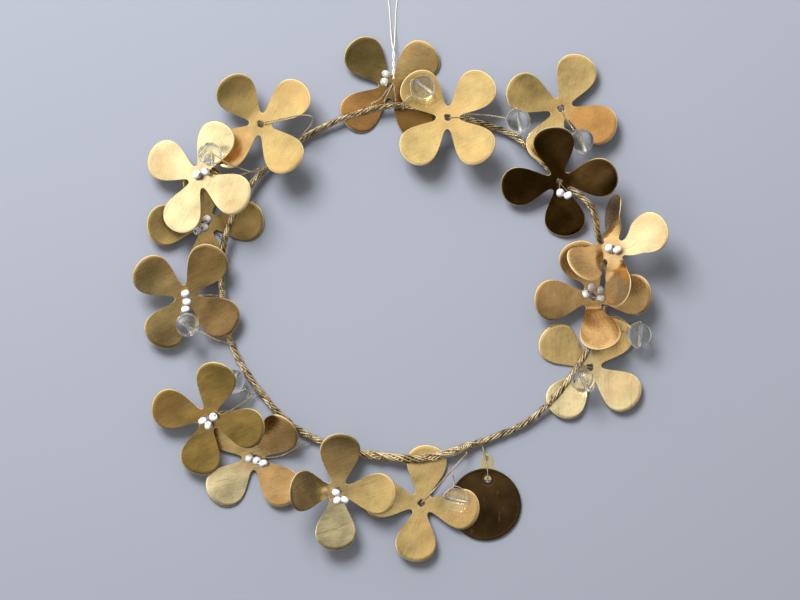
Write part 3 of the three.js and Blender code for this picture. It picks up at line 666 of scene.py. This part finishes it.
# The winding's place on the hoop and the way to the flower, which ends under it or, if above,
# over it; the direction of a hooked end in degrees; and for a glass bead, where its side wire
# forks off, its way up to the bead, and the direction of the bead's hole.
STEMS = [
    dict(clasp=(-17, 73), route=[(-14, 77.2, 6.1), (-11.4, 80.6, 5.5)], above=True),
    dict(clasp=(22, 69), route=[(19.6, 68.2, 8.5), (16.4, 68.4, 9.1)], hook=-1,
         branch=[(29, 70.4, 8.1), (35, 69.4, 12.1), (44.6, 67.4, 14.9)], bore=(0.17, -0.98, 0)),
    dict(clasp=(49, 56.8), route=[(53.4, 61.4, 2.1), (59, 68, 2.5), (62.2, 72, 3.7)], hook=293,
         fork=(64.8, 69.1, 9.05), branch=[(66.2, 66.4, 11.3), (71.3, 59.1, 13.5)],
         bore=(0.3, -0.95, 0)),
    dict(clasp=(59, 46.4), route=[(60, 43.4, 8.7)]),
    dict(clasp=(82.8, 4), route=[(82.9, 4.6, 9.7), (83.6, 9.6, 12.5)]),
    dict(clasp=(81.8, -9.6), route=[(79.4, -8.2, 5.7)]),
    dict(clasp=(70.4, -35.8), route=[(72.6, -36.2, 6.7)], above=True,
         branch=[(69.6, -35, 9.9), (70.4, -34.6, 11.7), (71.9, -42.3, 12.7)],
         bore=(0.47, -0.88, 0)),
    dict(clasp=(22, -71), route=[(20.4, -76, 6.7), (13.4, -84, 6.3), (7, -91, 5.7)], above=True,
         fork=(16.6, -80.2, 6.5), branch=[(17.2, -84, 8.5), (18.3, -92.8, 8.9)],
         bore=(0.98, -0.2, 0)),
    dict(clasp=(-34, -70.4), route=[(-33, -76, 4.7), (-32, -84, 6.1)]),
    dict(clasp=(-43, -66.6), route=[(-47, -69.6, 2.4), (-56, -74.6, 1.1), (-64, -75.8, 0.9)]),
    dict(clasp=(-66, -46.4), route=[(-70.6, -50.6, 5.1), (-78, -55.4, 7.5), (-84, -58, 8.1)],
         fork=(-70.6, -50.6, 5.1), branch=[(-69.8, -47, 6.1), (-76.3, -42.6, 7.5)],
         bore=(0.56, 0.83, 0)),
    dict(clasp=(-81.6, -6), route=[(-87, -6, 5.5), (-93.4, -6.4, 6.7)]),
    dict(clasp=(-79.4, 18),
         route=[(-81.8, 18.2, 3.7), (-82.6, 19.4, 1.5), (-85, 21.6, 0.8), (-87.4, 24, 0.8)]),
    dict(clasp=(-64, 46.4), route=[(-68.4, 46.4, 7.9), (-80, 43.4, 11.7), (-87, 43.4, 13.1)],
         branch=[(-67.4, 46, 12.7), (-71.4, 46.8, 18.1), (-77, 48.8, 22.5), (-84.8, 52.8, 23.9)],
         bore=(0.1, 0.05, 0.99)),
    dict(clasp=(-50, 58.6), above=True,
         route=[(-46.6, 62, 10), (-42.6, 66.4, 15.4), (-42.4, 68.9, 18.2), (-47, 69.4, 19.4),
                (-55, 68, 17.2)]),
]
# Glass beads that have a winding on the hoop and a wire of their own.
LONE_WIRES = {
    1: dict(clasp=(-4.2, 74), bore=(0.82, -0.57, 0),
            route=[(-4.2, 72.6, 9.4), (-4.4, 74.4, 13.4), (-2.4, 76.8, 14.6), (4.2, 81.6, 14.9)]),
    4: dict(clasp=(78.6, -19.2), bore=(-0.1, -0.99, 0),
            route=[(84, -20.4, 7.5), (96.1, -22.9, 9.7)]),
    8: dict(clasp=(-77.4, -26.4), bore=(-0.1, 0.2, 0.97),
            route=[(-78, -26.6, 8.7), (-83, -25, 11.7), (-88.4, -22, 14.6), (-95, -18.6, 15.7)]),
}


def on_flower(flower, x, y, z):
    """A place over or under the middle of a flower, as the flower is tilted."""
    return tilted(flower) @ (x, y, z) + np.array(flower["at"])


def pair(line, wire=STEM_WIRE, pitch=STEM_PITCH):
    """Two wires twisted together along a line."""
    starts = (0.4, 0.4 + math.pi)
    return [tube(wound(line, wire * 1.02, pitch, phase), wire, 6) for phase in starts]


def hoop_place(place):
    """The number of the point of the hoop that is nearest, seen from above."""
    return int(np.argmin(np.hypot(hoop_fine[:, 0] - place[0], hoop_fine[:, 1] - place[1])))


def coil(place, length, wire=STEM_WIRE, pitch=COIL_PITCH):
    """Turns of wire round the hoop, a little uneven, with both ends tucked in."""
    half = int(length / 2 / HOOP_STEP)
    index = (hoop_place(place) + np.arange(-half, half + 1)) % (len(hoop_fine) - 1)
    line = hoop_fine[index]
    count = np.arange(len(line))
    ends = smooth(-count, -COIL_TUCK_POINTS, 0) + smooth(-count[::-1], -COIL_TUCK_POINTS, 0)
    orbit = (hoop_radius(line) + wire * 0.8) * (1 - COIL_TUCK * ends)
    orbit = orbit + COIL_WANDER * np.sin(count * 0.37 + place[0])
    finer = spline(line, step=0.045)
    share = np.linspace(0, 1, len(finer))
    orbit = np.interp(share, np.linspace(0, 1, len(line)), orbit)
    return tube(wound(finer, orbit, pitch, place[1]), wire, 6)


def off_hoop(place, towards):
    """Where a wire comes off its winding, and where it is clear of it."""
    i = hoop_place(place)
    middle = hoop_fine[i]
    ahead = unit(hoop_fine[(i + 3) % len(hoop_fine)] - hoop_fine[i - 3])
    way = np.asarray(towards, float) - middle
    way = unit(way - ahead * np.dot(way, ahead))
    radius = hoop_radius(middle)
    return [middle + way * (radius + 0.1), middle + way * (radius + CLASP_WALL)]


def bead_wires(points, bore):
    """A twisted wire up to a glass bead, and the loop of wire that goes round and through it."""
    points = [np.asarray(p, float) for p in points]
    centre = points[-1]
    back, across = unit(points[-2] - centre), unit(np.asarray(bore, float))
    near = centre + back * (GLASS_RADIUS + BEAD_LOOP_GAP)
    legs = []
    for side in (1, -1):
        mouth = side * across
        angle = math.acos(np.clip(np.dot(back, mouth), -1, 1))
        leg = [near]
        for share, height in LOOP_OVER:
            way = back * math.sin((1 - share) * angle) + mouth * math.sin(share * angle)
            leg.append(centre + unit(way) * (GLASS_RADIUS + height))
        leg.append(centre + mouth * GLASS_RADIUS * 0.6)
        legs.append(leg)
    loop = spline([*legs[0], centre, *legs[1][::-1]], step=0.3)
    return [*pair(spline([*points[:-1], near], step=0.25)), tube(loop, LOOP_WIRE, 7)]


for number, (stem, flower) in enumerate(zip(STEMS, FLOWERS), 1):
    route = stem["route"]
    line = [*off_hoop(stem["clasp"], route[0]), *route]
    if stem.get("above"):
        line += [on_flower(flower, 0, 0, 1.4), on_flower(flower, 0, 0, -SHEET / 2 - 0.9)]
    else:
        line += [on_flower(flower, 0, 0, -1), on_flower(flower, 0, 0, SHEET / 2 + 0.8)]
    parts = [coil(stem["clasp"], CLASP_LENGTH)]
    if "hook" in stem:
        turn = math.radians(stem["hook"])
        out = [(reach * math.cos(turn), reach * math.sin(turn), height) for reach, height in HOOK]
        end = [on_flower(flower, *place) for place in out]
        line[-2:] = end[:1]
        parts.append(tube(spline(end, step=0.2), STEM_WIRE, 7))
    parts += pair(spline(line, step=0.25))
    if "branch" in stem:
        start = [stem["fork"]] if "fork" in stem else off_hoop(stem["clasp"], stem["branch"][0])
        parts += bead_wires([*start, *stem["branch"]], stem["bore"])
    made(
        f"twisted_stem_{number:02d}", parts, fine_wire, "crown",
        [f"stem_{number:02d}"],
    )

for number, lone in LONE_WIRES.items():
    points = [*off_hoop(lone["clasp"], lone["route"][0]), *lone["route"]]
    parts = [coil(lone["clasp"], LONE_CLASP_LENGTH), *bead_wires(points, lone["bore"])]
    made(
        f"bead_wire_{number}", parts, fine_wire, "crown",
        [f"crystal_wire_{number}"],
    )

# ---- Seed beads ---------------------------------------------------------------------------
# Small pearly glass beads, rounded, with a hole each, threaded on a loop of fine wire that
# comes up through the flower's hole. Those of the first flower are clear.
SEED_RADIUS = 1.9
SEED_HALF_LENGTH = 1.45
SEED_HOLE = 0.58
SEED_FULLNESS = 0.65
SEED_HEIGHT = SHEET / 2 + SEED_RADIUS + 0.45
SEED_LEAN = 0.8
SEED_WIRE = 0.16


def lathe(profile, centre, axis, corners=28):
    """A profile, given as distance from an axis and place along it, turned about the axis."""
    axis = unit(np.asarray(axis, float))
    across = unit(np.cross(axis, (0.31, 0.12, 1) if abs(axis[2]) < 0.9 else (1, 0.2, 0)))
    up = np.cross(axis, across)
    angle = np.linspace(0, 2 * math.pi, corners, endpoint=False)
    ring = np.cos(angle)[:, None] * across + np.sin(angle)[:, None] * up
    rows = [centre + r * ring + h * axis for r, h in profile]
    return skin(np.stack(rows), loop=True)


def seed_profile():
    """An oval from one mouth of the hole to the other, and straight back through the hole."""
    mouth = math.acos((SEED_HOLE / SEED_RADIUS) ** (1 / SEED_FULLNESS))
    rows = [(SEED_RADIUS * math.cos(a) ** SEED_FULLNESS, SEED_HALF_LENGTH * math.sin(a))
            for a in np.linspace(-mouth, mouth, 15)]
    reach = SEED_HALF_LENGTH * math.sin(mouth)
    return rows + [(SEED_HOLE, reach * share) for share in (0.9, 0.45, 0, -0.45, -0.9)]


def pearl_finish(name, pale, deep, clear=0.0):
    """Lustre glass: milky white with faint rosy and grey clouds under a glossy skin."""
    finish = Finish(name)
    place = finish.node("TexCoord", output=3)
    clouds = finish.noise(place, 420, 3)
    grain = finish.noise(place, 2400, 2)
    colour = finish.mix(finish.ramp(clouds, (0.40, 0.0), (0.66, 1.0)), pale, deep)
    return finish.done(
        Base_Color=colour,
        Roughness=grain * 0.10 + 0.16,
        Coat_Weight=0.6,
        Coat_Roughness=0.08,
        Transmission_Weight=clear,
        IOR=1.5,
        Subsurface_Weight=0.0 if clear else 0.15,
        Subsurface_Scale=0.001,
        Normal=finish.bump(grain, 0.00002, 0.5),
    )


pearl = pearl_finish("pearl", (0.70, 0.70, 0.72, 1), (0.48, 0.45, 0.49, 1))
clear_seed = pearl_finish("clear_seed", (0.98, 0.99, 0.98, 1), (0.90, 0.93, 0.93, 1), 0.75)
for number, flower in enumerate(FLOWERS, 1):
    if not flower["beads"]:
        continue
    seed_draw = random.Random(40 + number)
    centres = [on_flower(flower, x, y, SEED_HEIGHT) for x, y in flower["beads"]]
    beads = []
    for i, centre in enumerate(centres):
        # A bead sits along its wire, and leans its own way.
        before, after = centres[max(i - 1, 0)], centres[min(i + 1, len(centres) - 1)]
        lean = np.array([seed_draw.uniform(*ends) for ends in ((-1, 1), (-1, 1), (-0.2, 0.9))])
        axis = unit(after - before + 1e-6) + SEED_LEAN * lean
        beads.append(lathe(seed_profile(), centre, axis))
    made(
        f"seed_bead_group_{number:02d}", beads, clear_seed if number == 1 else pearl, "crown",
        [f"seed_beads_{number:02d}"],
    )
    up = tilted(flower) @ (0, 0, 1)
    start, end = on_flower(flower, 0.25, 0.1, 0.5), on_flower(flower, -0.25, -0.1, 0.5)
    loop_line = spline([start, *centres, centres[-1] - 0.9 * up + 0.3, end], step=0.25)
    loop_wire = tube(loop_line, SEED_WIRE, 6)
    made(f"seed_bead_wire_{number:02d}", [loop_wire], fine_wire, "crown")

# ---- Glass beads --------------------------------------------------------------------------
# Clear round glass, 10 mm across, with a hole drilled through that is left matt inside. Each
# can spin on its wire.
GLASS_HOLE = 0.62
GLASS_CORNERS = 48
MOUTH_ROUND = 0.02
MOUTH_DEPTH = 0.12


def glass_finish():
    """Clear glass with a faint haze, and a drilled hole that is rough all through."""
    finish = Finish("clear_glass")
    place = finish.node("TexCoord", output=3)
    haze = finish.noise(place, 300, 3)
    drilled = finish.node("Attribute", {"attribute_name": "drilled"}, output=2)
    hazy = finish.ramp(haze, (0.35, 0.0), (0.7, 1.0))
    tint = finish.mix(hazy, (0.97, 0.985, 0.98, 1), (0.90, 0.94, 0.95, 1))
    return finish.done(
        Base_Color=tint,
        Roughness=finish.ramp(haze, (0.45, 0.0), (0.8, 0.10)) + drilled * 0.5,
        Transmission_Weight=1.0,
        IOR=1.5,
        Coat_Weight=0.3,
        Normal=finish.bump(haze, 0.00004, 0.3),
    )


clear_glass = glass_finish()
mouth = math.asin(GLASS_HOLE / GLASS_RADIUS)
ball = [(GLASS_RADIUS * math.sin(a), -GLASS_RADIUS * math.cos(a))
        for a in np.linspace(mouth + MOUTH_ROUND, math.pi - mouth - MOUTH_ROUND, 36)]
depth = GLASS_RADIUS * math.cos(mouth) - MOUTH_DEPTH
profile = ball + [(GLASS_HOLE, depth * share) for share in (1, 0.5, 0, -0.5, -1)]
in_hole = np.repeat([radius <= GLASS_HOLE for radius, _ in profile], GLASS_CORNERS)
joints = {joint["name"]: joint for joint in frame["joints"]}
for number in range(1, 10):
    joint = joints[f"crystal_{number}_spin"]
    centre = np.array(joint["pos_m"]) * 1000 - shift
    drilled_ball = lathe(profile, centre, joint["axis"], GLASS_CORNERS)
    bead = made(
        f"glass_bead_{number}", [drilled_ball], clear_glass, f"spinning_crystal_{number}",
        [f"crystal_{number}"],
    )
    drilled = bead.data.attributes.new("drilled", "FLOAT", "POINT")
    drilled.data.foreach_set("value", in_hole.astype(float))

# ---- Hang tag -----------------------------------------------------------------------------
# A round disc of darkened and polished brass, with a stamped ring round its hole and a low
# rim. It swings on a wire loop. A small bell-shaped tab of thin sheet lies behind it.
TAG_RADIUS = 15.25
TAG_THICKNESS = 0.7
TAG_HOLE = 1.5
TAG_PIVOT = np.array([32, -84.5, 1.5])
STAMP_DEPTH, STAMP_FROM_HOLE, STAMP_WIDTH = 0.10, 1.0, 0.22
RIM_HEIGHT, RIM_INNER, RIM_OUTER = 0.07, 1.05, 0.75
TAG_EDGE_DROP, HOLE_EDGE, RIM_EDGE = 0.12, 0.12, 0.16
# Rows of points from the hole to the rim, closer together at the stamped ring and the rim.
TAG_HOLE_ROWS = [place / 28 for place in (0, 0.03, 0.1, 0.3, 0.5, 0.7, 0.9, 1.1, 1.4, 1.8)]
TAG_RIM_ROWS = [0.945, 0.955, 0.965, 0.975, 0.985, 0.995, 1]
TAG_ROWS = [*TAG_HOLE_ROWS, *np.linspace(0.09, 0.93, 26), *TAG_RIM_ROWS]


def tag_disc():
    """Rows of points from the hole to the rim on top, and back to the hole underneath."""
    angle = np.linspace(0, 2 * math.pi, 120, endpoint=False)
    ring = np.stack([np.cos(angle), np.sin(angle), 0 * angle], axis=1)
    inner, outer = TAG_PIVOT + TAG_HOLE * ring, TAG_CENTRE + TAG_RADIUS * ring
    rows = []
    for face in (1, -1):
        line = []
        for share in TAG_ROWS:
            points = inner * (1 - share) + outer * share
            from_hole = np.linalg.norm((points - TAG_PIVOT)[:, :2], axis=1) - TAG_HOLE
            from_rim = TAG_RADIUS - np.linalg.norm((points - TAG_CENTRE)[:, :2], axis=1)
            edges = smooth(-from_hole, -HOLE_EDGE, 0) + smooth(-from_rim, -RIM_EDGE, 0)
            height = np.full(len(angle), TAG_THICKNESS / 2)
            height -= STAMP_DEPTH * np.exp(-(((from_hole - STAMP_FROM_HOLE) / STAMP_WIDTH) ** 2))
            height -= RIM_HEIGHT * smooth(from_rim, RIM_OUTER, RIM_INNER)
            height -= TAG_EDGE_DROP * edges
            points[:, 2] = TAG_CENTRE[2] + face * height
            line.append(points)
        rows += line if face > 0 else line[::-1]
    return skin(np.stack(rows), loop=True)


def dark_brass_finish():
    """Brass darkened nearly black and polished, with faint clouds and a few paler scratches."""
    finish = Finish("dark_brass")
    place = finish.node("TexCoord", output=3)
    clouds = finish.noise(place, 80, 4)
    fine = finish.noise(place, 1500, 2, 0.5, (0.12, 1, 1))
    scratches = finish.ramp(finish.noise(place, 900, 2, 0.5, (1, 0.25, 1)), (0.68, 0.0), (0.74, 1.0))
    colour = finish.ramp(clouds, (0.30, (0.036, 0.020, 0.008, 1)), (0.72, (0.11, 0.064, 0.024, 1)))
    worn = finish.mix(scratches * 0.2, colour, (0.40, 0.28, 0.14, 1))
    return finish.done(
        Base_Color=worn,
        Metallic=1.0,
        Roughness=clouds * 0.12 + fine * 0.10 + 0.12,
        Normal=finish.bump(fine * 0.5 + scratches + clouds * 0.4, 0.00002, 0.5),
    )


dark_brass = dark_brass_finish()
made("tag_disc", [tag_disc()], dark_brass, "swinging_tag", ["round_tag"])

# The tab is bell-shaped, wide at the bottom, with a hole in its ear for the wire.
TAB_EAR = np.array([31.6, -76, 0.4])
TAB_HOLE = 1.1
TAB_OUTLINE = [
    (-6.5, -9), (-6.3, -7.6), (-5.2, -5.6), (-3.4, -4.1), (-2.5, -3.1), (-2.6, -1.4), (-2.5, 0.2),
    (-1.9, 1.6), (-0.9, 2.2), (0, 2.35), (0.9, 2.2), (1.9, 1.6), (2.5, 0.2), (2.6, -1.4),
    (2.5, -3.1), (3.4, -4.1), (5.2, -5.6), (6.3, -7.6), (6.5, -9),
]
tab_curve = bpy.data.curves.new("tag_tab", "CURVE")
tab_curve.dimensions = "2D"
tab_curve.fill_mode = "BOTH"
tab_curve.extrude = 0.0001
tab_curve.bevel_depth = 0.00005
tab_curve.bevel_resolution = 2
tab_hole = [(TAB_HOLE * math.cos(a), TAB_HOLE * math.sin(a))
            for a in np.linspace(0, 2 * math.pi, 24, endpoint=False)]
for outline in (TAB_OUTLINE, tab_hole):
    spline_ring = tab_curve.splines.new("POLY")
    spline_ring.use_cyclic_u = True
    spline_ring.points.add(len(outline) - 1)
    for point, (x, y) in zip(spline_ring.points, outline):
        point.co = (x / 1000, y / 1000, 0, 1)
tab_curve.materials.append(brass_sheet)
tab = bpy.data.objects.new("tag_tab", tab_curve)
tab.location = (TAB_EAR + shift) / 1000
bpy.context.collection.objects.link(tab)
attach(tab, "crown")
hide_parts("tag_backing_tab")

# The wire that holds the tag and its tab: two legs from one winding on the hoop.
TAG_CLASP, TAG_CLASP_LENGTH = (29, -68.7), 3
TAG_WIRE, TAG_WIRE_PITCH = 0.15, 1.9
TAG_LEG = [
    (30.6, -74, 3.2), (31.8, -80, 3), TAG_PIVOT + (0, 0.8, 1.1), TAG_PIVOT,
    TAG_PIVOT - (0, 0, 0.6),
]
TAB_LEG = [
    (30.2, -73.4, 2.4), TAB_EAR + (-0.1, 0.6, 1.1), TAB_EAR + (0, 0, 0.5),
    TAB_EAR - (0, 0, 0.05),
]
tag_wires = [coil(TAG_CLASP, TAG_CLASP_LENGTH)]
for leg in (TAG_LEG, TAB_LEG):
    leg_line = spline([*off_hoop(TAG_CLASP, leg[0]), *leg], step=0.25)
    tag_wires += pair(leg_line, TAG_WIRE, TAG_WIRE_PITCH)
made("tag_wire", tag_wires, fine_wire, "crown", ["tag_loop"])

# ---- Bail ---------------------------------------------------------------------------------
# Two short legs of twisted brass wire, each wound round the hoop at its foot. They meet in a
# point over the hoop's edge, and the thread is tied to them there.
BAIL_COIL = dict(length=1.6, wire=0.2, pitch=0.5)
BAIL_WIRE, BAIL_PITCH = 0.17, 1.7
BAIL_CLASPS = ((-11.8, 74.4), (-7.2, 74.2))
bail_top = THREAD_EXIT - (0, 0.9, 0)
bail = []
for place in BAIL_CLASPS:
    tight, start = off_hoop(place, (place[0], 80, 8))
    knee = (start + bail_top) / 2 + (0, 0, 0.3)
    leg_line = spline([tight, start, knee, bail_top], step=0.2)
    bail += [coil(place, **BAIL_COIL), *pair(leg_line, BAIL_WIRE, BAIL_PITCH)]
made("bail", bail, fine_wire, "crown", ["hanging_bail"])

# ---- Floor, light and finish ---------------------------------------------------------------
# The crown lies on a plain pale grey-blue floor, under one soft light from the upper left. A
# wide bright sky on that side and a dark one opposite give the brass its highlights.
FLOOR_REACH = 3
corners = [(-FLOOR_REACH, -FLOOR_REACH, 0), (FLOOR_REACH, -FLOOR_REACH, 0),
           (FLOOR_REACH, FLOOR_REACH, 0), (-FLOOR_REACH, FLOOR_REACH, 0)]
pale_floor = Finish("pale_floor").done(Base_Color=(0.200, 0.214, 0.254, 1), Roughness=0.9)
floor_mesh = bpy.data.meshes.new("floor")
floor_mesh.from_pydata(corners, [], [(0, 1, 2, 3)])
floor_mesh.materials.append(pale_floor)
floor = bpy.data.objects.new("floor", floor_mesh)
bpy.context.collection.objects.link(floor)

KEY_AZIMUTH, KEY_OFF_TOP, KEY_DISTANCE = math.radians(118), math.radians(39), 1.2
KEY_SIZE, KEY_WATTS = 0.5, 29.5
key_way = np.array([
    math.cos(KEY_AZIMUTH) * math.sin(KEY_OFF_TOP),
    math.sin(KEY_AZIMUTH) * math.sin(KEY_OFF_TOP),
    math.cos(KEY_OFF_TOP),
])
key = bpy.data.lights.new("key_light", "AREA")
key.size = KEY_SIZE
key.energy = KEY_WATTS
key_lamp = bpy.data.objects.new("key_light", key)
key_lamp.location = KEY_DISTANCE * key_way
key_lamp.rotation_euler = (KEY_OFF_TOP, 0, KEY_AZIMUTH + math.pi / 2)
key_lamp.visible_glossy = False
bpy.context.collection.objects.link(key_lamp)

# Share of the way from straight away from the bright side to straight at it, and brightness.
SKY = (
    (0, 0.06), (0.22, 0.12), (0.33, 0.32), (0.42, 0.48), (0.5, 0.74), (0.58, 0.98), (0.68, 1.2),
    (0.76, 1.3), (0.9, 1.5), (1, 1.9),
)
SKY_WAY = (-0.50, 0.87, 0.0)
SKY_RED, SKY_BLUE = 1.03, 0.93
world = bpy.data.worlds.new("studio")
world.use_nodes = True
tree = world.node_tree
background = tree.nodes["Background"]
direction = tree.nodes.new("ShaderNodeTexCoord")
toward = tree.nodes.new("ShaderNodeVectorMath")
toward.operation = "DOT_PRODUCT"
toward.inputs[1].default_value = SKY_WAY
spread = tree.nodes.new("ShaderNodeMapRange")
spread.inputs["From Min"].default_value = -1.0
ramp = tree.nodes.new("ShaderNodeValToRGB")
stops = ramp.color_ramp.elements
while len(stops) < len(SKY):
    stops.new(1)
for stop, (share, light) in zip(stops, SKY):
    stop.position = share
    stop.color = (light * SKY_RED, light, light * SKY_BLUE, 1)
tree.links.new(direction.outputs["Generated"], toward.inputs[0])
tree.links.new(toward.outputs["Value"], spread.inputs["Value"])
tree.links.new(spread.outputs["Result"], ramp.inputs["Fac"])
tree.links.new(ramp.outputs["Color"], background.inputs["Color"])
background.inputs["Strength"].default_value = 1.0
bpy.context.scene.world = world
bpy.context.scene.view_settings.view_transform = "Standard"
